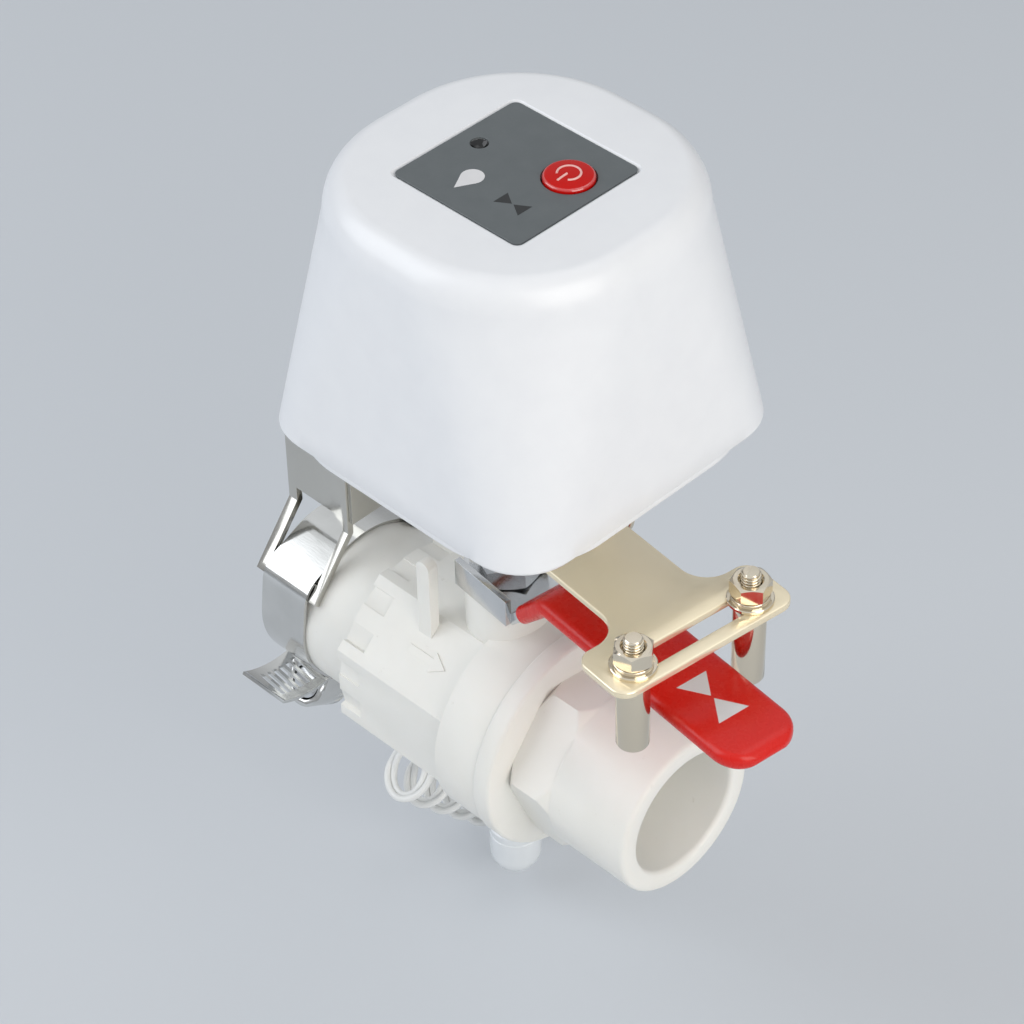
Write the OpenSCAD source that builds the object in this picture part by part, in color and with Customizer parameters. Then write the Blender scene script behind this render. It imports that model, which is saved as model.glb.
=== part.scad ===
// Smart water valve: a motor controller on a bracket turns the lever of a plastic ball valve.
// Millimetres. The origin is the centre of the inlet socket's mouth, +X runs along the pipe
// towards the outlet, and +Z points up along the valve stem.

/* [Pipe and valve] */
// Outside diameter of the pipe that the sockets take
pipe_d = 26.7; // [25:0.1:28]
// Radial gap between pipe and socket
socket_gap = 0.1; // [0.05:0.05:0.3]
// Depth of each pipe socket
socket_depth = 22; // [16:1:24]
// Wall of each pipe socket
socket_wall = 4.55; // [3.5:0.05:5.5]
// Inlet mouth to stem axis
inlet_len = 55; // [53:1:70]
// Stem axis to outlet mouth
outlet_len = 48; // [46:1:60]
// Diameter of the waterway
bore_d = 19; // [14:0.5:20]
// Diameter of the ball
ball_d = 29; // [28:0.5:29.5]
// Width across the flats of the eight-sided body
body_af = 42.6; // [41:0.2:46]
// Length of the eight-sided body before the stem axis
body_back = 28; // [24:1:29]
// Diameter of the body's round flange
flange_d = 48; // [46:0.5:54]
// Stem axis to the joint between body and end cap
joint_x = 13.5; // [13:0.5:16]
// Thickness of the end cap's disc
disc_t = 4.4; // [3:0.2:6]
// Length of the end cap's hexagon
hex_len = 10; // [8:0.5:14]
// Radius of the collar round the stem
collar_r = 8.6; // [7:0.2:9]
// Height of the collar's top above the pipe axis
collar_top = 32; // [30:0.5:36]
// Diameter of the stem
stem_d = 10; // [9:0.5:11]

/* [Lever] */
// Angle of arm and lever in the photographed position, from the pipe axis
rest_angle = -7; // [-10:1:0]
// Thickness of the steel lever
lever_t = 2.2; // [1.5:0.1:3]
// Rise of the lever from its base to its grip
lever_rise = 10; // [7:0.5:12]
// Reach of the lever from the stem axis to its tip
lever_len = 77.5; // [68:0.5:85]
// Width of the red grip
grip_w = 17.6; // [15:0.2:19]
// Wall of the dipped grip
grip_wall = 0.8; // [0.5:0.1:1.6]

/* [Controller] */
// Width of the housing at its foot
house_w = 71; // [66:1:80]
// Corner radius of the housing at its foot
house_r = 11.7; // [8:0.1:16]
// Width of the housing just below its top edge
house_top_w = 66; // [60:1:70]
// Corner radius of the housing just below its top edge
house_top_r = 28.5; // [22:0.5:30]
// Height of the housing
house_h = 56; // [52:1:62]
// Rounding of the top edge, inwards
top_round = 5; // [3:0.5:7]
// Rounding of the top edge, downwards
top_drop = 7.4; // [4:0.2:9]
// Wall of the housing
wall = 2.2; // [1.6:0.1:3]
// Offset of the housing's centre from the stem axis
house_dx = 4.6; // [2:0.2:6]
// Height of the housing's foot above the pipe axis
house_z = 76; // [72:0.5:82]
// Side of the square label
label_w = 31.4; // [28:0.2:34]
// Diameter of the push button
button_d = 9.6; // [8:0.2:11]
// Travel of the push button
button_travel = 0.8; // [0.4:0.1:1.2]

/* [Drive arm] */
// Stem axis to the slot for the pillars
arm_len = 55; // [50:0.5:60]
// Half of the distance between the pillars
pillar_half = 14; // [13:0.5:15]
// Thickness of the arm's plate
arm_t = 1.5; // [1.2:0.1:2.5]
// Height of the arm's upper face above the pipe axis
arm_z = 57.2; // [55:0.2:60]
// Diameter of each pillar
pillar_d = 6.4; // [5:0.2:7]
// Height of the pillars' lower ends above the pipe axis
pillar_foot = 38; // [36:0.5:41]
// Thread diameter of the pillars' studs
stud_d = 4; // [3:0.5:4]
// Module of the gear teeth
gear_m = 1; // [0.9:0.05:1]
// Teeth on the output gear
gear_teeth = 36; // [30:2:36]
// Teeth on the motor's pinion
pinion_teeth = 12; // [12:2:16]

/* [Clamp and bracket] */
// Inlet mouth to the middle of the clamp
clamp_x = 7; // [6.8:0.1:9]
// Width of the clamp's band
band_w = 12.7; // [9:0.1:12.7]
// Thickness of the clamp's band
band_t = 0.65; // [0.5:0.05:0.9]
// Thickness of the bracket's sheet
sheet_t = 1.5; // [1:0.1:2]
// Width of the bracket along the pipe
bracket_w = 18.4; // [17:0.2:20]
// Lean of the saddle's legs from upright
saddle_lean = 38; // [34:1:42]

/* [Cord] */
// Diameter of the twin cord
cord_d = 3; // [2:0.1:3.2]
// Mean radius of the curls
curl_r = 4.8; // [4.4:0.1:5.4]
// Pitch of the curls
curl_pitch = 5.8; // [5.2:0.1:6.4]

/* [Hidden] */
$fn = 64;

// Gap between pieces that turn or slide on each other, and between pieces that only pass by
run_gap = 0.05;
pass_gap = 0.3;
over = 1;

stem_x = inlet_len;
socket_r = pipe_d / 2 + socket_gap;
neck_r = socket_r + socket_wall;
bore_r = bore_d / 2;
ball_r = ball_d / 2;
chamber_r = ball_r + 1.5;
spigot_r = chamber_r + 3.8;
seat_back = ball_r - 1;
seat_t = 4.9;
spigot_x = 8.4;
oct_r = body_af / 2 / cos(22.5);
hex_r = neck_r + 1.8;
stem_r = stem_d / 2;
stem_shoulder = chamber_r + 1.3;
tang_w = 6;
square_w = 8.2;
thread_r = 4;

lever_z = collar_top + pass_gap;
grip_z = lever_z + lever_rise;
grip_start = 13.5;
lever_base_r = 9.2;
nut_z = lever_z + lever_t;
lever_nut_h = 5;
lever_nut_af = 13;

house_x = stem_x + house_dx;
house_top = house_z + house_h;
base_t = 1.3;
base_z = house_z - base_t;
register_h = 3;
label_t = 0.5;
foot_z = house_z + register_h;
base_screw_at = house_w / 2 - house_r + 0.2;
button_pos = [house_x + 8.1, 5, house_top];
led_pos = [house_x - 10.9, 1.6, house_top];

gear_z = house_z + register_h + 5;
gear_h = 6;
gear_r = gear_m * gear_teeth / 2;
pinion_r = gear_m * pinion_teeth / 2;
motor_x = stem_x + gear_r + pinion_r;
plate_z = gear_z + gear_h + 2;
plate_t = 2;
motor_r = 10;
motor_h = 22;
board_z = plate_z + plate_t + motor_h + 1.5;
board_t = 1.6;
board_w = 44;
boss_at = board_w / 2 - 4;
boss_r = 3.2;
shaft_r = 5;
hub_r = 10;
bush_r = 7;
bush_z = base_z - 2.7;
arm_foot = arm_z - arm_t;
square_hub = 8;

washer_t = 0.8;
spring_t = 0.8;
nut_h = 3.5;
stud_out = 2;
slot_w = stud_d + 0.4;
slot_half = pillar_half + 3.6;

clutch_pos = [stem_x + 11, 14];
clutch_r = 2.2;
clutch_foot = 59;
spring_r = 4;
spring_z = base_z - 2.7;
clutch_collar = house_z + register_h + 2;
ring_r = 9.4;
wire_r = 0.8;

web_x = clamp_x + bracket_w / 2;
leg_y = 5;
leg_len = 17;
pad_x = stem_x - 13;
pad_w = 30;
pad_d = 16;
window_w = band_w + 0.9;

gland_at = [stem_x - 11, 28.5];
gland_len = 12.5;
gland_end = base_z - gland_len;
cord_r = cord_d / 2;
curls = 5.5;
curl_rings = 10;
curl_start = [stem_x - 52.5, 16, -71.5];
plug_top = -62;
plug_len = 17;
drop_x = -28.7;

// Route of the cord from the gland to the curls, measured from the stem axis
lead_route = [[-11, 28.5, 56], [-11, 28.5, 46], [-11, 28.5, 36], [-11, 28.5, 26], [-11, 28.5, 17],
    [-11.2, 31, 8], [-13.2, 33.2, -1.5], [-19, 34.4, -11], [-31.5, 32.5, -26], [-39, 30, -34.5],
    [-45.5, 26.8, -42.5], [-50.4, 24.4, -51], [-53.6, 22.6, -59]];
// Route from the curls up to the tie, over and down to the plug, measured from the stem axis
tail_route = [[-34.4, 42.6, -82], [-31.4, 41.6, -72], [-26.5, 38.4, -58], [-20.6, 34, -42],
    [-16.2, 30, -26], [-14.4, 28.5, -12], [-14.4, 28.5, -2], [-14.4, 28.5, 8], [-14.4, 28.5, 18],
    [-14.4, 28.5, 28], [-14.8, 28.5, 35], [-17, 28.5, 40.5], [-21.6, 28.5, 43], [-26.2, 28.5, 40.5],
    [-28.4, 28.5, 35], [-28.7, 28.5, 28], [-28.7, 28.5, 18], [-28.7, 28.5, 8], [-28.7, 28.5, -2],
    [-28.7, 28.5, -12], [-28.7, 28.5, -22], [-28.7, 28.5, -32], [-28.7, 28.5, -42], [-28.7, 28.5, -52]];

function unit(v) = v / norm(v);
function from_stem(p) = [p[0] + stem_x, p[1], p[2]];

// Curled part of the cord: points on a helix round a line that falls away behind the valve
curl_dir = unit([1.95, 4.1, -3.63]);
curl_left = unit(cross([0, 0, 1], curl_dir));
curl_up = cross(curl_dir, curl_left);
function curl_point(turn) = curl_start + curl_dir * curl_pitch * turn
    + curl_r * (cos(360 * turn) * curl_left - sin(360 * turn) * curl_up);
curl_path = [for (i = [0 : curls * curl_rings]) curl_point(i / curl_rings)];
curl_in = unit(curl_dir * curl_pitch - curl_up * 2 * PI * curl_r);
curl_out = unit(curl_dir * curl_pitch + curl_up * 2 * PI * curl_r);
curl_first = curl_path[0] - curl_in * cord_d;
curl_last = curl_path[len(curl_path) - 1] + curl_out * cord_d;
curl_all = concat([curl_first], curl_path, [curl_last]);
lead_all = concat([[gland_at[0], gland_at[1], gland_end]], [for (p = lead_route) from_stem(p)],
    [curl_first - curl_in * cord_d, curl_first]);
tail_all = concat([curl_last, curl_last + curl_out * cord_d], [for (p = tail_route) from_stem(p)],
    [[stem_x + drop_x, gland_at[1], plug_top]]);

// Least clear gap between one curl and the next, measured on the helix points
curl_gap = min([for (i = [0 : len(curl_path) - 1 - curl_rings])
    min([for (j = [i + curl_rings / 2 : min(len(curl_path) - 1, i + 2 * curl_rings)])
        norm(curl_path[j] - curl_path[i])])]) - cord_d;
echo(curl_gap = curl_gap);

// A cylinder along the pipe, from x to x + h
module along_x(x, r, h, sides = 64) {
    translate([x, 0, 0]) rotate([0, 90, 0]) cylinder(r = r, h = h, $fn = sides);
}

// Places children on the stem axis, turned with the arm and lever
module turned() {
    translate([stem_x, 0, 0]) rotate([0, 0, rest_angle]) children();
}

// A square with round corners, centred, made of plain shapes
module round_square(w, d, r) {
    square([w - 2 * r, d], center = true);
    square([w, d - 2 * r], center = true);
    for (x = [-1, 1], y = [-1, 1]) translate([x * (w / 2 - r), y * (d / 2 - r)]) circle(r);
}

// A hexagon nut with its hole
module hex_nut(af, h, hole_r) {
    difference() {
        cylinder(r = af / 2 / cos(30), h = h, $fn = 6);
        translate([0, 0, -over]) cylinder(r = hole_r, h = h + 2 * over);
    }
}

// An O-ring round Z
module o_ring(major, minor) {
    rotate_extrude() translate([major, 0]) circle(minor);
}

// A tube along a list of points, with flat ends square to its path; the path never runs along side
module swept_tube(path, r, sides, side = [0, 1, 0]) {
    last = len(path) - 1;
    dirs = [for (i = [0 : last]) unit(path[min(i + 1, last)] - path[max(i - 1, 0)])];
    ends = [for (i = [0 : last]) i == 0 ? unit(path[1] - path[0])
        : i == last ? unit(path[last] - path[last - 1]) : dirs[i]];
    frame = [for (i = [0 : last]) unit(cross(ends[i], side))];
    points = [for (i = [0 : last]) for (k = [0 : sides - 1])
        path[i] + r * (cos(360 * k / sides) * frame[i]
            + sin(360 * k / sides) * cross(ends[i], frame[i]))];
    walls = [for (i = [0 : last - 1]) for (k = [0 : sides - 1])
        let (a = i * sides + k, b = i * sides + (k + 1) % sides)
        each [[a, b + sides, b], [a, a + sides, b + sides]]];
    start_cap = [for (k = [1 : sides - 2]) [0, k, k + 1]];
    end_cap = [for (k = [1 : sides - 2]) [last * sides, last * sides + k + 1, last * sides + k]];
    polyhedron(points = points, faces = concat(walls, start_cap, end_cap), convexity = 6);
}

// Outline of a spur gear with involute flanks and a little backlash
function involute(a) = tan(a) * 180 / PI - a;
function flank(r, base, half) = half + involute(20) - involute(acos(min(1, base / r)));
function gear_outline(teeth, m, back) =
    let (pitch = m * teeth / 2, base = pitch * cos(20), tip = pitch + 0.85 * m, root = pitch - 1.15 * m,
        low = max(base, root), half = 90 / teeth - back / pitch * 90 / PI, steps = 4,
        radii = [for (k = [0 : steps]) low + (tip - low) * k / steps])
    [for (t = [0 : teeth - 1]) let (mid = 360 * t / teeth) each concat(
        [[root, mid - flank(low, base, half)]],
        [for (k = [0 : steps]) [radii[k], mid - flank(radii[k], base, half)]],
        [for (k = [steps : -1 : 0]) [radii[k], mid + flank(radii[k], base, half)]],
        [[root, mid + flank(low, base, half)]])];
module spur_gear(teeth, m, h) {
    outline = gear_outline(teeth, m, 0.3);
    linear_extrude(h) polygon([for (p = outline) [p[0] * cos(p[1]), p[0] * sin(p[1])]]);
}

// Valve

module valve_body() {
    fin = [3.5, 2.4, 22];
    fin_top = collar_top + 5;
    color("ivory") difference() {
        union() {
            along_x(0, neck_r, stem_x);
            translate([stem_x - body_back, 0, 0]) rotate([0, 90, 0]) rotate([0, 0, 22.5])
                cylinder(r = oct_r, h = body_back + joint_x, $fn = 8);
            along_x(stem_x + 2.5, flange_d / 2, joint_x - 2.5);
            translate([stem_x, 0, 0]) cylinder(r = collar_r, h = collar_top);
            // Fin with a round top that stops the lever when the valve is closed
            translate([stem_x - lever_base_r - pass_gap - fin[0], -12.4, fin_top - fin[2]]) {
                cube(fin - [0, 0, fin[0] / 2]);
                translate([fin[0] / 2, 0, fin[2] - fin[0] / 2]) rotate([-90, 0, 0])
                    cylinder(d = fin[0], h = fin[1]);
            }
        }
        along_x(-over, socket_r, socket_depth + over);
        along_x(0, bore_r, stem_x);
        along_x(stem_x - seat_back, chamber_r, seat_back + joint_x + over);
        along_x(stem_x + spigot_x, spigot_r + run_gap, joint_x);
        translate([stem_x, 0, 0]) cylinder(r = stem_r + run_gap, h = collar_top + over);
        translate([stem_x, 0, 0]) cylinder(r = stem_r + 2.8, h = stem_shoulder + pass_gap);
        // Moulded pockets round the back end of the body
        for (i = [0 : 15]) rotate([i * 22.5 + 11.25, 0, 0])
            translate([stem_x - body_back - over, -2.1, body_af / 2 - 0.3]) cube([7, 4.2, 6]);
    }
}

module end_cap() {
    disc_x = stem_x + joint_x;
    hex_x = disc_x + disc_t;
    mouth_x = stem_x + outlet_len;
    color("ivory") difference() {
        union() {
            along_x(disc_x, flange_d / 2 + 0.4, disc_t);
            along_x(stem_x + spigot_x, spigot_r, joint_x - spigot_x + over);
            intersection() {
                translate([hex_x - over, 0, 0]) rotate([0, 90, 0]) rotate([0, 0, 22])
                    cylinder(r = hex_r, h = hex_len + over, $fn = 6);
                translate([hex_x - over, 0, 0]) rotate([0, 90, 0])
                    cylinder(r1 = hex_r - 2.4, r2 = hex_r - 2.4 + hex_len + over, h = hex_len + over);
            }
            along_x(hex_x + hex_len - over, neck_r, mouth_x - hex_x - hex_len + over);
        }
        along_x(mouth_x - socket_depth, socket_r, socket_depth + over);
        along_x(stem_x, bore_r, outlet_len);
        along_x(stem_x, chamber_r, seat_back);
        // Groove of the face seal
        translate([disc_x, 0, 0]) rotate([0, 90, 0]) rotate_extrude()
            translate([spigot_r + 0.8, -over]) square([1.8, 1.8 + over]);
    }
}

module body_seal() {
    color("dimgray") translate([stem_x + joint_x + 0.9, 0, 0]) rotate([0, 90, 0])
        o_ring(spigot_r + 1.7, 0.86);
}

module seat_ring() {
    difference() {
        along_x(-seat_back, chamber_r - 0.1, seat_t);
        along_x(-ball_r, bore_r, ball_r);
        sphere(ball_r + run_gap);
    }
}
module rear_seat() {
    color("white") translate([stem_x, 0, 0]) seat_ring();
}
module front_seat() {
    color("white") translate([stem_x, 0, 0]) mirror([1, 0, 0]) seat_ring();
}

module ball() {
    color("whitesmoke") turned() difference() {
        sphere(ball_r);
        along_x(-ball_d, bore_r, 2 * ball_d);
        translate([-tang_w / 2, -ball_r, ball_r - 4.3]) cube([tang_w, ball_d, ball_r]);
    }
}

// Square of the stem, with corners as round as the stem
module stem_square(z, h) {
    translate([0, 0, z]) intersection() {
        translate([-square_w / 2, -square_w / 2, 0]) cube([square_w, square_w, h]);
        cylinder(r = stem_r, h = h);
    }
}

module stem() {
    color("gainsboro") turned() difference() {
        union() {
            translate([-tang_w / 2, -5, ball_r - 4.3]) cube([tang_w, 10, 5]);
            translate([0, 0, ball_r + 0.5]) cylinder(r = stem_r + 2.5, h = stem_shoulder - ball_r - 0.5);
            translate([0, 0, ball_r]) cylinder(r = stem_r, h = lever_z - ball_r - pass_gap / 2);
            stem_square(ball_r, nut_z - ball_r);
            translate([0, 0, ball_r]) cylinder(r = thread_r, h = nut_z + lever_nut_h + 2 - ball_r);
        }
        for (z = [21.5, 25.5]) translate([0, 0, z - 0.8]) difference() {
            cylinder(r = stem_r + over, h = 1.6);
            cylinder(r = stem_r - 1.6, h = 1.6);
        }
    }
}

module stem_rings() {
    color("black") turned() for (z = [21.5, 25.5]) translate([0, 0, z]) o_ring(stem_r - 0.8, 0.8);
}

// Side view of the lever, as a strip of thickness t whose lower face is lifted by drop
module lever_side(from_x, to_x, t, drop) {
    knee = 21.5;
    foot = grip_start - 2;
    polygon(from_x < foot
        ? [[from_x, -drop], [foot + drop * 0.4, -drop], [knee + drop * 0.4, lever_rise - drop],
            [to_x, lever_rise - drop], [to_x, lever_rise + t], [knee - t * 0.4, lever_rise + t],
            [foot - t * 0.4, t], [from_x, t]]
        : [[from_x, (from_x - foot) * lever_rise / (knee - foot) - drop * 1.4],
            [knee + drop * 0.4, lever_rise - drop], [to_x, lever_rise - drop], [to_x, lever_rise + t],
            [knee - t * 0.4, lever_rise + t],
            [from_x, (from_x - foot) * lever_rise / (knee - foot) + t * 1.4]]);
}

module lever_strip(from_x, to_x, w, t, drop) {
    translate([0, w / 2, lever_z]) rotate([90, 0, 0]) linear_extrude(w) lever_side(from_x, to_x, t, drop);
}

module lever_plate() {
    rim_h = 4;
    rim_back = 5;
    base_end = grip_start - 2.5;
    color("silver") turned() difference() {
        union() {
            translate([0, 0, lever_z]) cylinder(r = lever_base_r, h = lever_t);
            lever_strip(0, lever_len - 4, grip_w - 2 * grip_wall, lever_t, 0);
            translate([-rim_back, -lever_base_r, lever_z])
                cube([base_end + rim_back, 2 * lever_base_r, lever_t]);
            // Turned-up edges of the stamped base
            for (y = [-lever_base_r, lever_base_r - 1.4]) translate([-rim_back, y, lever_z])
                cube([base_end + rim_back, 1.4, lever_t + rim_h]);
        }
        stem_square(lever_z - over, lever_t + 2 * over);
    }
}

module lever_grip() {
    tip_r = 6.5;
    color("red") turned() difference() {
        intersection() {
            lever_strip(grip_start, lever_len + 2, grip_w + 2, lever_t + grip_wall, grip_wall);
            translate([0, 0, lever_z - lever_rise]) linear_extrude(4 * lever_rise) union() {
                translate([0, -grip_w / 2]) square([lever_len - tip_r, grip_w]);
                translate([lever_len - tip_r - over, -grip_w / 2 + tip_r])
                    square([tip_r + over, grip_w - 2 * tip_r]);
                for (y = [-1, 1]) translate([lever_len - tip_r, y * (grip_w / 2 - tip_r)]) circle(tip_r);
            }
        }
        lever_strip(0, lever_len - 4, grip_w - 2 * grip_wall, lever_t, 0);
    }
}

module lever_nut() {
    color("silver") turned() translate([0, 0, nut_z]) rotate([0, 0, 20])
        hex_nut(lever_nut_af, lever_nut_h, thread_r);
}

// Clamp and bracket

// Tangent point of the saddle's legs on the neck, and the legs' direction, in the YZ plane
leg_dir = [-sin(saddle_lean), -cos(saddle_lean)];
leg_out = [-cos(saddle_lean), sin(saddle_lean)];
leg_touch = leg_out * (neck_r + run_gap);
leg_run = (leg_touch[0] + leg_y) / leg_dir[0];
leg_top = leg_touch - leg_dir * leg_run;
leg_past = 2.2;

// Inside outline of the band: it wraps the neck and swells smoothly over the lower bars of the saddle
module band_inside() {
    bar_half = (leg_past + 1.8) / 2;
    swell_r = 6;
    swell = swell_r - sqrt(swell_r * swell_r - bar_half * bar_half);
    centre = leg_touch + leg_dir * (leg_past - bar_half) + leg_out * (sheet_t + run_gap + swell - swell_r);
    hull() {
        circle(neck_r + run_gap, $fn = 96);
        for (s = [-1, 1]) translate([s * centre[0], centre[1]]) circle(swell_r, $fn = 64);
    }
}

// Turns a drawing in the YZ plane into a solid of width w, centred on the clamp
module across_clamp(w) {
    translate([clamp_x - w / 2, 0, 0]) rotate([90, 0, 90]) linear_extrude(w) children();
}

screw_angle = -120;
screw_out = neck_r + band_t + 4.6;

// Free end of the band: an arc that stands off past the screw and curls up, in the screw's frame
tail_r = 19.5;
tail_from = 42;
tail_sweep = 41;
tail_foot = [2.9, neck_r + band_t / 2];
tail_mid = tail_foot + tail_r * [sin(tail_from), -cos(tail_from)];
function tail_at(r, lift) = tail_mid + r * [-sin(lift), cos(lift)];

module clamp_band() {
    steps = 16;
    lifts = [for (i = [0 : steps]) tail_from - tail_sweep * i / steps];
    slot_turn = 5.2;
    color("silver") difference() {
        union() {
            across_clamp(band_w) difference() {
                offset(r = band_t) band_inside();
                band_inside();
            }
            rotate([screw_angle - 90, 0, 0]) translate([clamp_x - band_w / 2, 0, 0]) rotate([90, 0, 90])
                linear_extrude(band_w) polygon(concat([for (a = lifts) tail_at(tail_r + band_t / 2, a)],
                    [for (i = [steps : -1 : 0]) tail_at(tail_r - band_t / 2, lifts[i])]));
        }
        // Slots that the screw's thread engages
        rotate([screw_angle - 90, 0, 0]) for (i = [0 : 5])
            let (lift = tail_from - 7 - i * slot_turn, at = tail_at(tail_r, lift))
            translate([clamp_x, at[0], at[1]]) rotate([lift, 0, 0]) rotate([0, 0, 7])
            cube([8, 1, 4], center = true);
    }
}

module clamp_housing() {
    color("silver") rotate([screw_angle - 90, 0, 0]) translate([clamp_x, 0, screw_out]) difference() {
        union() {
            translate([-5.6, -5.5, -4]) cube([11.2, 8, 4]);
            translate([0, 2.5, 0]) rotate([90, 0, 0]) cylinder(r = 5.2, h = 8);
        }
        translate([0, 10, 0]) rotate([90, 0, 0]) cylinder(r = 3.4 + pass_gap, h = 20);
        translate([-6.6, -6.5, -6]) cube([13.2, 10, 2.05]);
    }
}

module clamp_screw() {
    color("gainsboro") rotate([screw_angle - 90, 0, 0]) translate([clamp_x, 0, screw_out]) difference() {
        union() {
            translate([0, 2.2, 0]) rotate([90, 0, 0]) cylinder(r = 3.3, h = 9.4);
            translate([0, -7, 0]) rotate([90, 0, 0]) cylinder(r = 7 / 2 / cos(30), h = 4.4, $fn = 6);
        }
        translate([-5, -13.2, -0.5]) cube([10, 3, 1]);
    }
}

module clamp_bracket() {
    leg_end = leg_touch + leg_dir * leg_past;
    bend = unit([-1, 0] + leg_out);
    bend_out = leg_top - bend * sheet_t / bend[0];
    plate_low = base_z - sheet_t;
    side_top = base_z - sheet_t / 2;
    neck = 8;
    color("silver") difference() {
        union() {
            // Each side is one strip, bent where it leaves the upright for the saddle
            for (s = [0, 1]) mirror([0, s, 0]) translate([web_x - bracket_w, 0, 0]) rotate([90, 0, 90])
                linear_extrude(bracket_w - sheet_t / 2) polygon([[-leg_y, side_top], leg_top, leg_end,
                    leg_end + leg_out * sheet_t, bend_out, [-leg_y - sheet_t, side_top]]);
            translate([web_x - sheet_t, -leg_y - sheet_t / 2, leg_top[1] + 3])
                cube([sheet_t, 2 * leg_y + sheet_t, side_top - leg_top[1] - 3]);
            translate([web_x - neck + 0.4, -leg_y - sheet_t / 2, plate_low])
                cube([pad_x - web_x + neck - 0.4, 2 * leg_y + sheet_t, sheet_t]);
            translate([pad_x - pad_d, -pad_w / 2, plate_low]) cube([pad_d, pad_w, sheet_t]);
        }
        // Slant that narrows the sides towards the top
        rotate([90, 0, 0]) translate([0, 0, -pad_w]) linear_extrude(2 * pad_w)
            polygon([[web_x - bracket_w - over, leg_top[1] + leg_len], [web_x - neck, plate_low],
                [web_x - neck, base_z + over], [web_x - bracket_w - over, base_z + over]]);
        // Windows that the band threads through
        for (s = [0, 1]) mirror([0, s, 0])
            translate([clamp_x - window_w / 2, -leg_y, leg_top[1]]) rotate([-saddle_lean, 0, 0])
            translate([0, -sheet_t - 4, 1.8 - leg_run])
            cube([window_w, sheet_t + 5, leg_run + 0.4]);
        for (x = [0, 1], y = [-1, 1]) translate([pad_x - 3 - x * 7, y * 10, plate_low - over])
            cylinder(r = 1.6, h = sheet_t + 2 * over);
    }
}

module bracket_screws() {
    color("gainsboro") for (x = [0, 1], y = [-1, 1])
        translate([pad_x - 3 - x * 7, y * 10, base_z - sheet_t]) difference() {
            union() {
                cylinder(r = 1.5, h = sheet_t + 4);
                translate([0, 0, -1.8]) cylinder(r = 2.8, h = 1.8);
            }
            for (a = [0, 90]) rotate([0, 0, a]) translate([-1.6, -0.4, -2]) cube([3.2, 0.8, 1]);
        }
}

// Controller

// Housing form at inset d from the outside: a square foot that blends to a nearly round top
module house_form(d, foot, top) {
    steps = 5;
    hull() {
        for (level = concat([[foot, house_w / 2 - d, house_r - d, 0]],
            [for (k = [0 : steps]) let (a = 90 * k / steps) [
                top - top_drop * (1 - sin(a)), house_top_w / 2 - d - top_round * (1 - cos(a)),
                house_top_r - d - top_round * (1 - cos(a)), k]]))
            for (x = [-1, 1], y = [-1, 1])
                translate([x * (level[1] - level[2]), y * (level[1] - level[2]), level[0]])
                    cylinder(r = level[2], h = 0.02, $fn = 64);
    }
}

module housing_shell() {
    boss_h = 15;
    // Corner of the tapered wall's middle at the top of the bosses
    t = (foot_z + boss_h - house_z) / (house_h - top_drop);
    half = house_w / 2 + (house_top_w - house_w) / 2 * t;
    r = house_r + (house_top_r - house_r) * t;
    rib = (half - r - base_screw_at) * sqrt(2) + r - wall / 2;
    color("white") difference() {
        union() {
            difference() {
                translate([house_x, 0, 0]) house_form(0, house_z, house_top - 0.02);
                translate([house_x, 0, 0]) house_form(wall, house_z - over, house_top - wall);
            }
            // Bosses that the circuit board is screwed to
            for (x = [-1, 1], y = [-1, 1])
                translate([house_x + x * boss_at, y * boss_at, board_z + board_t])
                    cylinder(r = 2.6, h = house_top - wall / 2 - board_z - board_t);
            // Bosses and ribs that the base screws bite into
            for (x = [-1, 1], y = [-1, 1]) translate([house_x + x * base_screw_at, y * base_screw_at, foot_z]) {
                cylinder(r = boss_r, h = boss_h);
                rotate([0, 0, atan2(y, x)]) translate([0, -1, 0]) cube([rib, 2, boss_h]);
            }
        }
        for (x = [-1, 1], y = [-1, 1])
            translate([house_x + x * base_screw_at, y * base_screw_at, foot_z - over])
                cylinder(r = 1.5, h = 8);
        translate([house_x - label_w / 2, -label_w / 2, house_top - label_t])
            cube([label_w, label_w, label_t + over]);
        translate(button_pos - [0, 0, 2 * wall]) cylinder(d = button_d + 2 * pass_gap, h = 3 * wall);
        translate(led_pos - [0, 0, 2 * wall]) cylinder(r = 1.75, h = 3 * wall);
    }
}

module label_panel() {
    color("dimgray") difference() {
        translate([house_x, 0, house_top - label_t]) linear_extrude(label_t - 0.1)
            round_square(label_w - 0.2, label_w - 0.2, 1.5);
        translate(button_pos - [0, 0, wall]) cylinder(d = button_d + 2 * pass_gap, h = 2 * wall);
        translate(led_pos - [0, 0, wall]) cylinder(r = 1.75, h = 2 * wall);
    }
}

module power_button() {
    crown = 1.4;
    skirt = 1.2;
    switch_top = board_z + board_t + 3.5;
    color("red") translate([button_pos[0], button_pos[1], 0]) union() {
        translate([0, 0, house_top]) intersection() {
            translate([0, 0, crown - 14]) sphere(14);
            translate([0, 0, -over]) cylinder(d = button_d, h = crown + over);
        }
        translate([0, 0, house_top - wall - skirt]) cylinder(d = button_d, h = wall + skirt);
        translate([0, 0, house_top - wall - pass_gap - skirt]) cylinder(d = button_d + 2.4, h = skirt);
        translate([0, 0, switch_top + button_travel + 0.1])
            cylinder(r = 1.6, h = house_top - wall - skirt - switch_top - button_travel);
    }
}

module led_lens() {
    color("black") translate(led_pos) {
        translate([0, 0, -wall - 0.6]) cylinder(r = 1.75, h = wall + 0.5);
        translate([0, 0, -wall - 1.6]) cylinder(r = 2.6, h = 1.6 - 0.001);
    }
}

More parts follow.
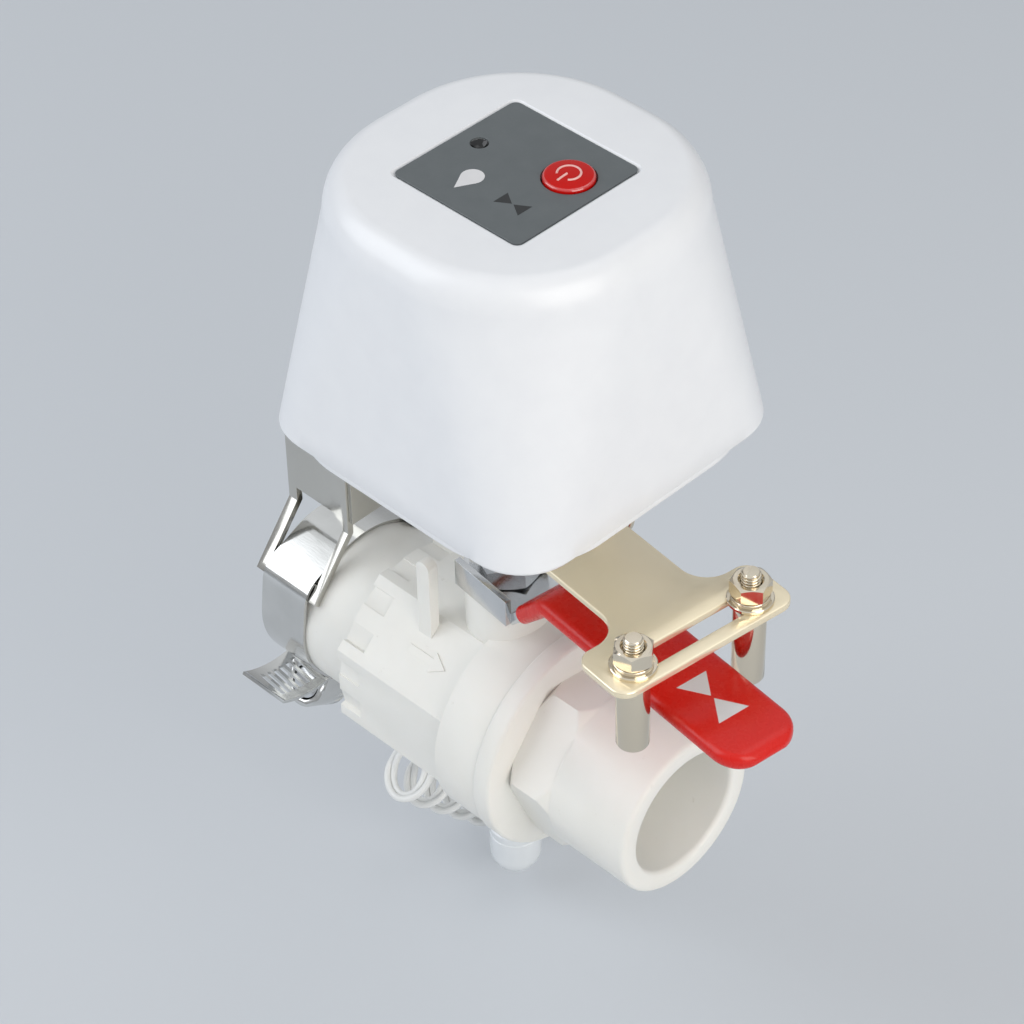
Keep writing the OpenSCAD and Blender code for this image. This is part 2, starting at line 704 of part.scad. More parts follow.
module circuit_board() {
    color("darkgreen") difference() {
        translate([house_x, 0, board_z]) linear_extrude(board_t) round_square(board_w, board_w, 4);
        for (x = [-1, 1], y = [-1, 1]) translate([house_x + x * boss_at, y * boss_at, board_z - over])
            cylinder(r = 1.1, h = board_t + 2 * over);
    }
}

module board_parts() {
    top = board_z + board_t;
    color("dimgray") {
        // Push switch, light source, radio module, relay and supply capacitor
        translate([button_pos[0] - 3, button_pos[1] - 3, top]) cube([6, 6, 2.6]);
        translate([button_pos[0], button_pos[1], top]) cylinder(r = 1.7, h = 3.5);
        translate([led_pos[0], led_pos[1], top]) cylinder(r = 1.5, h = house_top - wall - 1.6 - top);
        translate([house_x - 12, -17, top]) cube([18, 12, 2.8]);
        translate([house_x - 6, 9.5, top]) cube([10, 7, 5]);
        translate([house_x + 13, -9, top]) cylinder(r = 3, h = 5);
    }
}

module gear_plate() {
    foot = house_z + register_h;
    x0 = -22;
    x1 = 33;
    half = base_screw_at - boss_r - 0.8;
    color("gainsboro") difference() {
        union() {
            translate([stem_x + x0, -half, plate_z]) cube([x1 - x0, 2 * half, plate_t]);
            for (x = [x0 + 3, x1 - 3], y = [-1, 1]) translate([stem_x + x, y * (half - 3), foot])
                cylinder(r = 2.8, h = plate_z - foot);
        }
        translate([stem_x, 0, plate_z - over]) cylinder(r = shaft_r - 1 + run_gap, h = plate_t + 2 * over);
        translate([motor_x, 0, plate_z - over]) cylinder(r = 3, h = plate_t + 2 * over);
    }
}

module gear_motor() {
    color("silver") translate([motor_x, 0, plate_z + plate_t]) difference() {
        union() {
            linear_extrude(motor_h - 2) difference() {
                circle(motor_r);
                for (s = [-1, 1]) translate([-motor_r, s > 0 ? 7.5 : -7.5 - 2 * motor_r]) square(2 * motor_r);
            }
            translate([0, 0, motor_h - 2]) cylinder(r = 4, h = 2);
        }
        translate([0, 0, -over]) cylinder(r = 1.5 + run_gap, h = 10);
    }
}

module drive_pinion() {
    color("gold") translate([motor_x, 0, 0]) union() {
        translate([0, 0, gear_z]) rotate([0, 0, 180 / pinion_teeth]) spur_gear(pinion_teeth, gear_m, gear_h);
        translate([0, 0, gear_z]) cylinder(r = 1.5, h = plate_z + plate_t + 8 - gear_z);
    }
}

module output_gear() {
    color("white") translate([stem_x, 0, gear_z]) difference() {
        union() {
            spur_gear(gear_teeth, gear_m, gear_h);
            translate([0, 0, -1]) cylinder(r = shaft_r + 3, h = gear_h + 2);
        }
        translate([0, 0, -2]) cylinder(r = shaft_r, h = gear_h + 4);
        for (i = [0 : 5]) rotate([0, 0, i * 60 + 30]) translate([gear_r * 0.64, 0, -over])
            cylinder(r = 2.6, h = gear_h + 2 * over);
    }
}

module output_shaft() {
    color("silver") turned() difference() {
        union() {
            translate([0, 0, arm_z]) cylinder(r = hub_r, h = bush_z - pass_gap - arm_z);
            translate([0, 0, arm_z]) cylinder(r = shaft_r, h = gear_z + gear_h + 1 - arm_z);
            translate([0, 0, arm_z]) cylinder(r = shaft_r - 1, h = plate_z + plate_t - arm_z);
            translate([-square_hub / 2, -square_hub / 2, arm_foot])
                cube([square_hub, square_hub, arm_t + over]);
        }
        translate([0, 0, arm_foot - over]) cylinder(r = 2, h = 12);
    }
}

module shaft_bush() {
    color("goldenrod") translate([stem_x, 0, bush_z]) difference() {
        cylinder(r = bush_r, h = house_z + register_h - bush_z);
        translate([0, 0, -over]) cylinder(r = shaft_r + run_gap, h = 20);
    }
}

module base_plate() {
    inner_w = house_w - 2 * wall - 0.8;
    color("white") difference() {
        union() {
            translate([house_x, 0, base_z]) linear_extrude(base_t) round_square(house_w - 1.2, house_w - 1.2, 20);
            translate([house_x, 0, house_z]) linear_extrude(register_h)
                round_square(inner_w, inner_w, house_r + 0.5);
            translate([stem_x, 0, bush_z]) cylinder(r = bush_r + 2.4, h = house_z - bush_z);
            translate([clutch_pos[0], clutch_pos[1], base_z - 5]) cylinder(r = spring_r + 1.8, h = 6);
        }
        translate([stem_x, 0, bush_z - over]) cylinder(r = bush_r, h = 30);
        translate([clutch_pos[0], clutch_pos[1], base_z - 6]) cylinder(r = clutch_r + run_gap, h = 30);
        translate([clutch_pos[0], clutch_pos[1], spring_z]) cylinder(r = spring_r, h = 30);
        for (x = [-1, 1], y = [-1, 1]) translate([house_x + x * base_screw_at, y * base_screw_at, base_z - over])
            cylinder(r = 1.6, h = 20);
        // Screw holes of the bracket
        for (x = [0, 1], y = [-1, 1]) translate([pad_x - 3 - x * 7, y * 10, base_z - over])
            cylinder(r = 1.5, h = 4 + over);
    }
}

module base_screws() {
    color("silver") for (x = [-1, 1], y = [-1, 1]) translate([house_x + x * base_screw_at, y * base_screw_at, base_z])
        difference() {
            union() {
                cylinder(r = 1.5, h = base_t + register_h + 2);
                translate([0, 0, -1.6]) cylinder(r = 2.7, h = 1.6);
            }
            for (a = [0, 90]) rotate([0, 0, a]) translate([-1.5, -0.35, -1.8]) cube([3, 0.7, 1]);
        }
}

module clutch_pin() {
    color("silver") translate([clutch_pos[0], clutch_pos[1], 0]) difference() {
        union() {
            translate([0, 0, clutch_foot]) cylinder(r = clutch_r, h = clutch_collar + 1.4 - clutch_foot);
            translate([0, 0, clutch_collar]) cylinder(r = spring_r - 0.4, h = 1.4);
        }
        translate([-3, 0, clutch_foot + 2.2]) rotate([0, 90, 0]) cylinder(r = 1.2, h = 6);
    }
}

// Return spring between a ledge in the base and the collar of the pin
module clutch_spring() {
    turns = 6;
    wire = 0.3;
    mean = clutch_r + 0.9;
    run = clutch_collar - spring_z - 2 * wire - 0.1;
    points = [for (i = [0 : turns * 8]) [clutch_pos[0] + mean * cos(45 * i),
        clutch_pos[1] + mean * sin(45 * i), spring_z + wire + 0.05 + run * i / (turns * 8)]];
    color("silver") swept_tube(points, wire, 6, [0, 0, 1]);
}

module pull_ring() {
    color("silver") translate([clutch_pos[0], clutch_pos[1], clutch_foot + 2.2 - ring_r + 0.15])
        rotate([90, 0, 0]) rotate_extrude() translate([ring_r, 0]) circle(wire_r);
}

// Drive arm

module arm_outline() {
    neck_w = 19.4;
    bar_d = 13.8;
    bar_w = 42;
    fillet = 6;
    bar_x = arm_len - 8.4;
    circle(hub_r + 1);
    translate([0, -neck_w / 2]) square([bar_x + 1, neck_w]);
    translate([bar_x + bar_d / 2, 0]) round_square(bar_d, bar_w, 3.4);
    for (s = [-1, 1]) difference() {
        translate([bar_x - fillet, s > 0 ? neck_w / 2 - 1 : -neck_w / 2 - fillet])
            square([fillet + 1, fillet + 1]);
        translate([bar_x - fillet, s * (neck_w / 2 + fillet)]) circle(fillet);
    }
}

module drive_arm() {
    color("silver") turned() translate([0, 0, arm_foot]) linear_extrude(arm_t) difference() {
        arm_outline();
        square(square_hub, center = true);
        translate([arm_len, 0]) square([slot_w, 2 * (slot_half - slot_w / 2)], center = true);
        for (s = [-1, 1]) translate([arm_len, s * (slot_half - slot_w / 2)]) circle(slot_w / 2);
    }
}

module arm_screw() {
    color("silver") turned() translate([0, 0, arm_foot]) difference() {
        union() {
            translate([0, 0, -3]) cylinder(r = 4.6, h = 3);
            translate([0, 0, -1]) cylinder(r = 2, h = 10);
        }
        translate([0, 0, -3.5]) cylinder(r = 2, h = 2, $fn = 6);
    }
}

module pillar(s) {
    color("silver") turned() translate([arm_len, s * pillar_half, 0]) union() {
        translate([0, 0, pillar_foot]) cylinder(d = pillar_d, h = arm_foot - pillar_foot);
        translate([0, 0, arm_foot - over]) cylinder(d = stud_d, h = arm_t + washer_t + spring_t + nut_h + stud_out + over);
    }
}
module washers(s) {
    color("silver") turned() translate([arm_len, s * pillar_half, arm_z]) difference() {
        union() {
            cylinder(r = stud_d / 2 + 2.5, h = washer_t);
            translate([0, 0, washer_t]) cylinder(r = stud_d / 2 + 1.8, h = spring_t);
        }
        translate([0, 0, -over]) cylinder(r = stud_d / 2 + 0.15, h = 10);
    }
}
module pillar_nut(s) {
    color("silver") turned() translate([arm_len, s * pillar_half, arm_z + washer_t + spring_t])
        rotate([0, 0, s < 0 ? 45 : 22]) hex_nut(7, nut_h, stud_d / 2);
}
module left_pillar() { pillar(-1); }
module left_washers() { washers(-1); }
module left_nut() { pillar_nut(-1); }
module right_pillar() { pillar(1); }
module right_washers() { washers(1); }
module right_nut() { pillar_nut(1); }

// Cord

module cord_gland() {
    color("white") translate([gland_at[0], gland_at[1], gland_end])
        cylinder(r1 = 2.3, r2 = 4.4, h = gland_len);
}

module cord_lead() { color("white") swept_tube(lead_all, cord_r, 8); }
module cord_curl() { color("white") swept_tube(curl_all, cord_r, 6, curl_dir); }
module cord_tail() { color("white") swept_tube(tail_all, cord_r, 8); }

// Strap round the lead and the tail
module cord_tie() {
    gap = 0.2;
    z0 = 22;
    color("white") translate([stem_x - 12.7, gland_at[1], z0]) linear_extrude(3) difference() {
        hull() for (s = [-1, 1]) translate([s * 1.7, 0]) circle(cord_r + gap + 0.9, $fn = 32);
        hull() for (s = [-1, 1]) translate([s * 1.7, 0]) circle(cord_r + gap, $fn = 32);
    }
}

module cord_plug() {
    color("white") translate([stem_x + drop_x, gland_at[1], plug_top - plug_len]) union() {
        cylinder(r = 4.8, h = plug_len - 7);
        translate([0, 0, plug_len - 7]) cylinder(r1 = 4.8, r2 = 2.2, h = 7);
    }
}

module plug_cap() {
    cap_r = 5.9;
    skirt = 8;
    color("whitesmoke") translate([stem_x + drop_x, gland_at[1], plug_top - plug_len]) rotate_extrude()
        union() {
            translate([0, -skirt]) square([cap_r, skirt]);
            translate([0, -skirt]) intersection() {
                circle(cap_r);
                translate([0, -cap_r]) square(cap_r);
            }
        }
}

valve_body();
end_cap();
body_seal();
rear_seat();
front_seat();
ball();
stem();
stem_rings();
lever_plate();
lever_grip();
lever_nut();
clamp_band();
clamp_housing();
clamp_screw();
clamp_bracket();
bracket_screws();
base_plate();
housing_shell();
label_panel();
power_button();
led_lens();
circuit_board();
board_parts();
gear_plate();
gear_motor();
drive_pinion();
output_gear();
output_shaft();
shaft_bush();
drive_arm();
arm_screw();
left_pillar();
left_washers();
left_nut();
right_pillar();
right_washers();
right_nut();
clutch_pin();
clutch_spring();
pull_ring();
base_screws();
cord_gland();
cord_lead();
cord_curl();
cord_tail();
cord_tie();
cord_plug();
plug_cap();
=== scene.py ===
import math

import bmesh
import bpy
from mathutils import Matrix, Vector


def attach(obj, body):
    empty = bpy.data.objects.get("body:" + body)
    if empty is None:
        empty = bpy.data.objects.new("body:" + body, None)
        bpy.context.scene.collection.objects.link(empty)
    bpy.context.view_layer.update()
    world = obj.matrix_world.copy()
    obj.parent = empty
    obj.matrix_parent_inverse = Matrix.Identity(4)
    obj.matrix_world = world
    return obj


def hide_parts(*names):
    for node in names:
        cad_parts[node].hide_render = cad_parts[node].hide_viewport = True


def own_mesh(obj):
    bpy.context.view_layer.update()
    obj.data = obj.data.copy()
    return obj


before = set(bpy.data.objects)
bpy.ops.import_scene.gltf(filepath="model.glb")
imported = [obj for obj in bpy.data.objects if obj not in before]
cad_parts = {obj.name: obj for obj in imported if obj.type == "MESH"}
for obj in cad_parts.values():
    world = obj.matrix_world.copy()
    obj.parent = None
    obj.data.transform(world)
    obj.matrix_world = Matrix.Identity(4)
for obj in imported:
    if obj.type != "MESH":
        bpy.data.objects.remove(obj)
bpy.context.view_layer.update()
MM = 0.001


# Camera
# A long lens from the front right and well above, at the photograph's own viewing angle.
def placed(name, data):
    """A new object in the scene for a mesh, a curve, a lamp or a camera."""
    made = bpy.data.objects.new(name, data)
    bpy.context.collection.objects.link(made)
    return made


EYE = Vector((0.4141, -0.3506, 0.4870))
AIM = Vector((0.0384, 0.0178, 0.0279))
ROLL_DEG = -1.28
camera = placed("camera", bpy.data.cameras.new("camera"))
camera.data.lens = 121.2
camera.data.sensor_width = 36
camera.data.clip_start = 0.01
look = (AIM - EYE).to_track_quat("-Z", "Y").to_matrix().to_4x4()
roll = Matrix.Rotation(math.radians(ROLL_DEG), 4, "Z")
camera.matrix_world = Matrix.Translation(EYE) @ look @ roll
bpy.context.scene.camera = camera
bpy.context.scene.view_settings.view_transform = "Standard"

# Supply lead
# A white twin lead, two vinyl insulated wires side by side. It leaves the gland, drops behind the
# valve into a curled stretch, comes up again to a tie and hangs over it down to its plug.
STEM_X = 55
WIRE_R = 0.76
WIRE_OFF = 0.74
lead_route = [
    (-11, 28.5, 62.2), (-11, 28.5, 56), (-11, 28.5, 46), (-11, 28.5, 36), (-11, 28.5, 26),
    (-11, 28.5, 17), (-11.2, 31, 8), (-13.2, 33.2, -1.5), (-19, 34.4, -11), (-31.5, 32.5, -26),
    (-39, 30, -34.5), (-45.5, 26.8, -42.5), (-50.4, 24.4, -51), (-53.6, 22.6, -59),
]
tail_route = [
    (-34.4, 42.6, -82), (-31.4, 41.6, -72), (-26.5, 38.4, -58), (-20.6, 34, -42), (-16.2, 30, -26),
    (-14.4, 28.5, -12), (-14.4, 28.5, -2), (-14.4, 28.5, 8), (-14.4, 28.5, 18), (-14.4, 28.5, 28),
    (-14.8, 28.5, 35), (-17, 28.5, 40.5), (-21.6, 28.5, 43), (-26.2, 28.5, 40.5), (-28.4, 28.5, 35),
    (-28.7, 28.5, 28), (-28.7, 28.5, 18), (-28.7, 28.5, 8), (-28.7, 28.5, -2), (-28.7, 28.5, -12),
    (-28.7, 28.5, -22), (-28.7, 28.5, -32), (-28.7, 28.5, -42), (-28.7, 28.5, -52), (-28.7, 28.5, -62),
]
CURL_R = 4.8
CURL_PITCH = 5.8
CURL_TURNS = 5.5
TURN_STEPS = 16
RUN_OUT = 3
curl_start = Vector((-52.5, 16, -71.5))
curl_along = Vector((1.95, 4.1, -3.63)).normalized()
curl_left = Vector((0, 0, 1)).cross(curl_along).normalized()
curl_up = curl_along.cross(curl_left)
curl_points = []
for step in range(int(CURL_TURNS * TURN_STEPS) + 1):
    around = 2 * math.pi * step / TURN_STEPS
    outward = math.cos(around) * curl_left - math.sin(around) * curl_up
    curl_points.append(curl_start + curl_along * CURL_PITCH * step / TURN_STEPS + CURL_R * outward)
# The lead runs into and out of the curl along its first and last wire direction
curl_in = (curl_along * CURL_PITCH - curl_up * 2 * math.pi * CURL_R).normalized() * RUN_OUT
curl_out = (curl_along * CURL_PITCH + curl_up * 2 * math.pi * CURL_R).normalized() * RUN_OUT
cord_points = [Vector(p) for p in lead_route]
cord_points += [curl_points[0] - curl_in * 2, curl_points[0] - curl_in]
cord_points += curl_points
cord_points += [curl_points[-1] + curl_out, curl_points[-1] + curl_out * 2]
cord_points += [Vector(p) for p in tail_route]
cord_points = [(p + Vector((STEM_X, 0, 0))) * MM for p in cord_points]


def linear(code):
    """Linear RGBA of an sRGB hex colour."""
    parts = [int(code[i:i + 2], 16) / 255 for i in (1, 3, 5)]
    return tuple(c / 12.92 if c <= 0.04045 else ((c + 0.055) / 1.055) ** 2.4 for c in parts) + (1,)


def add(tree, kind, inputs, **settings):
    """A node with its settings; each input is a value or the socket that feeds it."""
    node = tree.nodes.new(kind)
    for key, value in settings.items():
        setattr(node, key, value)
    for key, value in inputs.items():
        if isinstance(value, bpy.types.NodeSocket):
            tree.links.new(value, node.inputs[key])
        else:
            node.inputs[key].default_value = value
    return node


def finish_of(name, dark, light, grain_mm, bump, rough, stretch=(1, 1, 1), sockets=()):
    """A material with cloudy colour, and a grain that moves its roughness and a fine bump.

    Real grain is finer than a pixel, so grain_mm is drawn as coarse as it needs to show. The clouds
    are 14 grains wide. Stretch draws the grain out, and sockets are values for the shader itself.
    """
    material = bpy.data.materials.new(name)
    material.use_nodes = True
    tree = material.node_tree
    shader = tree.nodes["Principled BSDF"]
    for key, value in dict(sockets).items():
        shader.inputs[key].default_value = value
    place = add(tree, "ShaderNodeTexCoord", {})
    drawn = add(tree, "ShaderNodeMapping", {"Vector": place.outputs["Object"], "Scale": stretch})
    cloud = add(tree, "ShaderNodeTexNoise",
                {"Vector": place.outputs["Object"], "Scale": 1000 / (grain_mm * 14), "Detail": 4})
    grain = add(tree, "ShaderNodeTexNoise",
                {"Vector": drawn.outputs["Vector"], "Scale": 1000 / grain_mm, "Detail": 3})
    tint = add(tree, "ShaderNodeMix",
               {"Factor": cloud.outputs["Fac"], "A": linear(dark), "B": linear(light)}, data_type="RGBA")
    tree.links.new(tint.outputs[2], shader.inputs["Base Color"])
    gloss = add(tree, "ShaderNodeMapRange",
                {"Value": grain.outputs["Fac"], "From Min": 0.3, "From Max": 0.7,
                 "To Min": rough[0], "To Max": rough[1]})
    tree.links.new(gloss.outputs["Result"], shader.inputs["Roughness"])
    relief = add(tree, "ShaderNodeBump",
                 {"Height": grain.outputs["Fac"], "Strength": bump, "Distance": 0.0001})
    tree.links.new(relief.outputs["Normal"], shader.inputs["Normal"])
    return material


# White vinyl: soft gloss, a little grey in the folds
vinyl = finish_of("white_vinyl_insulation", "#dcdddb", "#eaeae8", 0.5, 0.15, (0.3, 0.42))


def smooth_spline(curve, points):
    """A spline through points in metres, rounded by itself."""
    spline = curve.splines.new("BEZIER")
    spline.bezier_points.add(len(points) - 1)
    for knot, place in zip(spline.bezier_points, points):
        knot.co = place
        knot.handle_left_type = "AUTO"
        knot.handle_right_type = "AUTO"
    return spline


line = bpy.data.curves.new("cord_line", "CURVE")
line.dimensions = "3D"
line.resolution_u = 4
line.twist_mode = "Z_UP"
smooth_spline(line, cord_points)
twin = bpy.data.curves.new("twin_section", "CURVE")
for side in (-WIRE_OFF, WIRE_OFF):
    wire_round = []
    for quarter in range(4):
        around = math.radians(90 * quarter)
        wire_round.append(((side + WIRE_R * math.cos(around)) * MM, WIRE_R * math.sin(around) * MM, 0))
    smooth_spline(twin, wire_round).use_cyclic_u = True
twin_section = placed("twin_section", twin)
line_object = placed("cord_line", line)
bpy.context.view_layer.update()
centre_mesh = bpy.data.meshes.new_from_object(line_object)
line.bevel_mode = "OBJECT"
line.bevel_object = twin_section
line.use_fill_caps = True
bpy.context.view_layer.update()
deps = bpy.context.evaluated_depsgraph_get()
cord_mesh = bpy.data.meshes.new_from_object(line_object.evaluated_get(deps))
cord_mesh.materials.clear()
cord_mesh.materials.append(vinyl)
cord_mesh.polygons.foreach_set("use_smooth", [True] * len(cord_mesh.polygons))
cord = placed("supply_lead", cord_mesh)
bpy.data.objects.remove(line_object)
bpy.data.objects.remove(twin_section)
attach(cord, "fixed")
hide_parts("cord_lead", "cord_curl", "cord_tail")


# Plug, gland and tie
# A moulded low-voltage plug with a ribbed, tapered tail under a milky domed dust cap, the ribbed
# gland under the housing, and a strap that holds lead and tail together.
CRISP_DEG = 38


def mesh_of(shape, name):
    """The finished mesh of a bmesh, which is freed."""
    data = bpy.data.meshes.new(name)
    shape.to_mesh(data)
    shape.free()
    return data


def settle(mesh, name, material, body, nodes=(), sharp=CRISP_DEG):
    """The bmesh as a piece on a body that stands for CAD nodes; edges past sharp degrees stay crisp."""
    for face in mesh.faces:
        face.smooth = True
    for edge in mesh.edges:
        edge.smooth = edge.calc_face_angle(0) < math.radians(sharp)
    made = placed(name, mesh_of(mesh, name))
    made.data.materials.append(material)
    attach(made, body)
    if nodes:
        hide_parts(*nodes)
    return made


def lathe(name, profile, at, material, body, nodes):
    """A turned piece: the profile of (radius, height) pairs in mm is spun round an upright line."""
    mesh = bmesh.new()
    points = [mesh.verts.new((r * MM, 0, z * MM)) for r, z in profile]
    for a, b in zip(points, points[1:]):
        mesh.edges.new((a, b))
    bmesh.ops.spin(mesh, geom=mesh.verts[:] + mesh.edges[:], axis=(0, 0, 1), cent=(0, 0, 0),
                   angle=2 * math.pi, steps=64, use_merge=True, use_duplicate=False)
    bmesh.ops.remove_doubles(mesh, verts=mesh.verts, dist=1e-6)
    bmesh.ops.recalc_face_normals(mesh, faces=mesh.faces)
    bmesh.ops.translate(mesh, verts=mesh.verts, vec=Vector(at) * MM)
    return settle(mesh, name, material, body, nodes, 32)


def eased(node, name, width_mm, segments, material, body):
    """A copy of a CAD node, merged, with its hard edges rounded by width_mm."""
    mesh = bmesh.new()
    mesh.from_mesh(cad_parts[node].data)
    bmesh.ops.remove_doubles(mesh, verts=mesh.verts, dist=2e-6)
    bmesh.ops.dissolve_limit(mesh, angle_limit=math.radians(0.4), use_dissolve_boundaries=False,
                             verts=mesh.verts, edges=mesh.edges)
    hard = [edge for edge in mesh.edges
            if len(edge.link_faces) == 2 and edge.calc_face_angle(0) > math.radians(CRISP_DEG)]
    bmesh.ops.bevel(mesh, geom=hard, offset=width_mm * MM, offset_type="OFFSET", affect="EDGES",
                    segments=segments, profile=0.5, material=-1, clamp_overlap=True, loop_slide=True)
    return settle(mesh, name, material, body, (node,))


PLUG_AT = (STEM_X - 28.7, 28.5, -79)
GLAND_AT = (STEM_X - 11, 28.5, 74.7)
CAP_R = 5.9
plug = lathe("supply_plug", [
    (0, 0), (4.4, 0), (4.8, 0.5), (4.8, 9.4), (4.4, 10.2), (3.9, 10.4), (3.9, 11.2), (4.0, 11.4),
    (3.7, 12), (3.3, 12.2), (3.3, 13), (3.4, 13.2), (3.1, 13.8), (2.8, 14), (2.8, 14.8), (2.9, 15),
    (2.6, 15.6), (2.2, 15.8), (2.2, 16.9), (2, 17), (0, 17),
], PLUG_AT, vinyl, "fixed", ("cord_plug",))

# Dust cap: clear polyethylene that has gone milky, so light goes a little way into it
milky = finish_of("milky_polyethylene", "#d3d7da", "#e6e9eb", 0.8, 0.08, (0.16, 0.26), sockets={
    "Subsurface Weight": 0.25, "Subsurface Radius": (0.002, 0.002, 0.002)})
cap_profile = [(0, 0), (5.5, 0), (CAP_R, -0.4), (CAP_R, -1.6), (5.7, -1.8), (5.7, -2.4), (CAP_R, -2.6)]
for degree in range(0, 91, 9):
    around = math.radians(degree)
    cap_profile.append((CAP_R * math.cos(around), -8 - CAP_R * math.sin(around)))
cap = lathe("plug_dust_cap", cap_profile, PLUG_AT, milky, "fixed", ("plug_cap",))
gland = lathe("lead_gland", [
    (0, 0), (4.6, 0), (4.6, -1.2), (4.1, -1.6), (3.9, -3), (4.1, -3.2), (3.9, -4), (3.5, -4.2),
    (3.4, -5.6), (3.6, -5.8), (3.4, -6.6), (3, -6.8), (2.9, -8.2), (3.1, -8.4), (2.9, -9.2), (2.5, -9.4),
    (2.4, -10.8), (2.5, -11), (2.4, -12.2), (2.1, -12.5), (0, -12.5),
], GLAND_AT, vinyl, "fixed", ("cord_gland",))
tie = eased("cord_tie", "lead_tie", 0.25, 2, vinyl, "fixed")

# Valve body and end cap
# Injection moulded valve plastic, warm white with a soft sheen, faint flow clouds and grey scuffs.
# A plain raised arrow on one flat shows the way of the flow.
ivory = finish_of("moulded_valve_plastic", "#e6e4dd", "#eeede8", 0.9, 0.12, (0.36, 0.5), sockets={
    "Subsurface Weight": 0.06, "Subsurface Radius": (0.0015, 0.0012, 0.0009)})
tree = ivory.node_tree
colour = tree.nodes["Principled BSDF"].inputs["Base Color"]
clean = colour.links[0].from_socket
place = add(tree, "ShaderNodeTexCoord", {})
# Scuffs lie about 4 mm apart
scuff = add(tree, "ShaderNodeTexNoise",
            {"Vector": place.outputs["Object"], "Scale": 260, "Detail": 6, "Roughness": 0.7})
marked = add(tree, "ShaderNodeMapRange",
             {"Value": scuff.outputs["Fac"], "From Min": 0.66, "From Max": 0.74,
              "To Min": 0, "To Max": 0.35})
scuffed = add(tree, "ShaderNodeMix",
              {"Factor": marked.outputs["Result"], "A": clean, "B": linear("#b9b3a4")}, data_type="RGBA")
tree.links.new(scuffed.outputs[2], colour)
eased("valve_body", "valve_body_moulding", 0.6, 3, ivory, "fixed")

SOCKET_R = 18
HEX_HALF = 17.2
HEX_TURN = 22
HEX_FROM = 72.9
HEX_TO = 83.7
HEX_RINGS = 37
RING_GAP = 0.3
STEP_FROM = 83
STEP_LONG = 0.6
RING_STEPS = 360


def cap_radius(x, degree):
    """Outside radius of the end cap at x mm: a hexagon, chamfered at both ends, then a round socket."""
    across = math.radians((degree + HEX_TURN) % 60 - 30)
    near_chamfer = SOCKET_R + 0.2 + (x - HEX_FROM)
    far_chamfer = SOCKET_R + 0.75 * (HEX_TO - x)
    hexagon = min(HEX_HALF / math.cos(across), near_chamfer, far_chamfer)
    blend = min(1, max(0, (x - STEP_FROM) / STEP_LONG))
    return hexagon + (SOCKET_R - hexagon) * blend


def wrap(mesh, rings):
    """Faces from each ring of vertices to the next."""
    for low, high in zip(rings, rings[1:]):
        for k in range(len(low)):
            mesh.faces.new((low[k - 1], low[k], high[k], high[k - 1]))


# Rings from the spigot round the disc, over the hexagon to the mouth, and back through the bore
cap_rings = [
    (68.5, 16), (63.6, 16), (63.4, 16.2), (63.4, 19.6), (63.6, 19.8), (68.5, 19.8), (68.5, 20.6),
    (70.3, 20.6), (70.3, 22.4), (68.5, 22.4), (68.5, 23.9), (68.65, 24.25), (69, 24.4), (72.1, 24.4),
    (72.6, 24.25), (72.85, 23.9), (72.9, 23.3), (72.9, 18.6),
]
cap_rings += [(HEX_FROM + RING_GAP * k, None) for k in range(HEX_RINGS)]
cap_rings += [
    (101.9, 18), (102.5, 17.85), (102.85, 17.5), (103, 17), (103, 14.3), (102.8, 13.9), (102.3, 13.55),
    (101.8, 13.45), (81, 13.45), (81, 9.5), (68.5, 9.5),
]
mesh = bmesh.new()
rings = []
for x, radius in cap_rings:
    ring = []
    for degree in range(RING_STEPS):
        r = cap_radius(x, degree) if radius is None else radius
        along_y = -r * math.sin(math.radians(degree))
        along_z = -r * math.cos(math.radians(degree))
        ring.append(mesh.verts.new((x * MM, along_y * MM, along_z * MM)))
    rings.append(ring)
wrap(mesh, rings + rings[:1])
bmesh.ops.recalc_face_normals(mesh, faces=mesh.faces)
settle(mesh, "valve_end_cap", ivory, "fixed", ("end_cap",), 48)


def new_verts(result):
    """The vertices that an extrude has made."""
    return [g for g in result["geom"] if isinstance(g, bmesh.types.BMVert)]


def flat_mark(name, outlines, thick_mm, matrix, material, body):
    """A thin raised mark: outlines of (x, y) points in mm, thickened upwards, placed by a matrix in mm."""
    mesh = bmesh.new()
    for outline in outlines:
        face = mesh.faces.new([mesh.verts.new((x, y, 0)) for x, y in outline])
        raised = bmesh.ops.extrude_face_region(mesh, geom=[face])
        bmesh.ops.translate(mesh, vec=(0, 0, thick_mm), verts=new_verts(raised))
    bmesh.ops.recalc_face_normals(mesh, faces=mesh.faces)
    bmesh.ops.transform(mesh, matrix=Matrix.Scale(MM, 4) @ matrix, verts=mesh.verts)
    settle(mesh, name, material, body)


FLAT_R = 21.25
on_flat = Matrix.Translation((STEM_X - 8, 0, 0)) @ Matrix.Rotation(math.radians(45), 4, "X")
arrow_outline = [(-5, -0.8), (1.4, -0.8), (1.4, -2.2), (5, 0), (1.4, 2.2), (1.4, 0.8), (-5, 0.8)]
flat_mark("flow_arrow", [arrow_outline], 0.35, on_flat @ Matrix.Translation((0, 0, FLAT_R)), ivory, "fixed")

# Ball, seats, stem and seals
# Inside the valve: a moulded ball between fluoropolymer seats, a turned brass stem and rubber O-rings.
# The same brass makes the drive's bush and pinion.

# Sintered fluoropolymer: waxy white with hardly any grain
seat_white = finish_of("fluoropolymer_seat", "#dadad6", "#e6e6e4", 0.6, 0.05, (0.3, 0.38))
eased("ball", "valve_ball", 0.3, 2, seat_white, "lever")
for node in ("rear_seat", "front_seat"):
    eased(node, node + "_ring", 0.15, 2, seat_white, "fixed")
METAL = {"Metallic": 1}
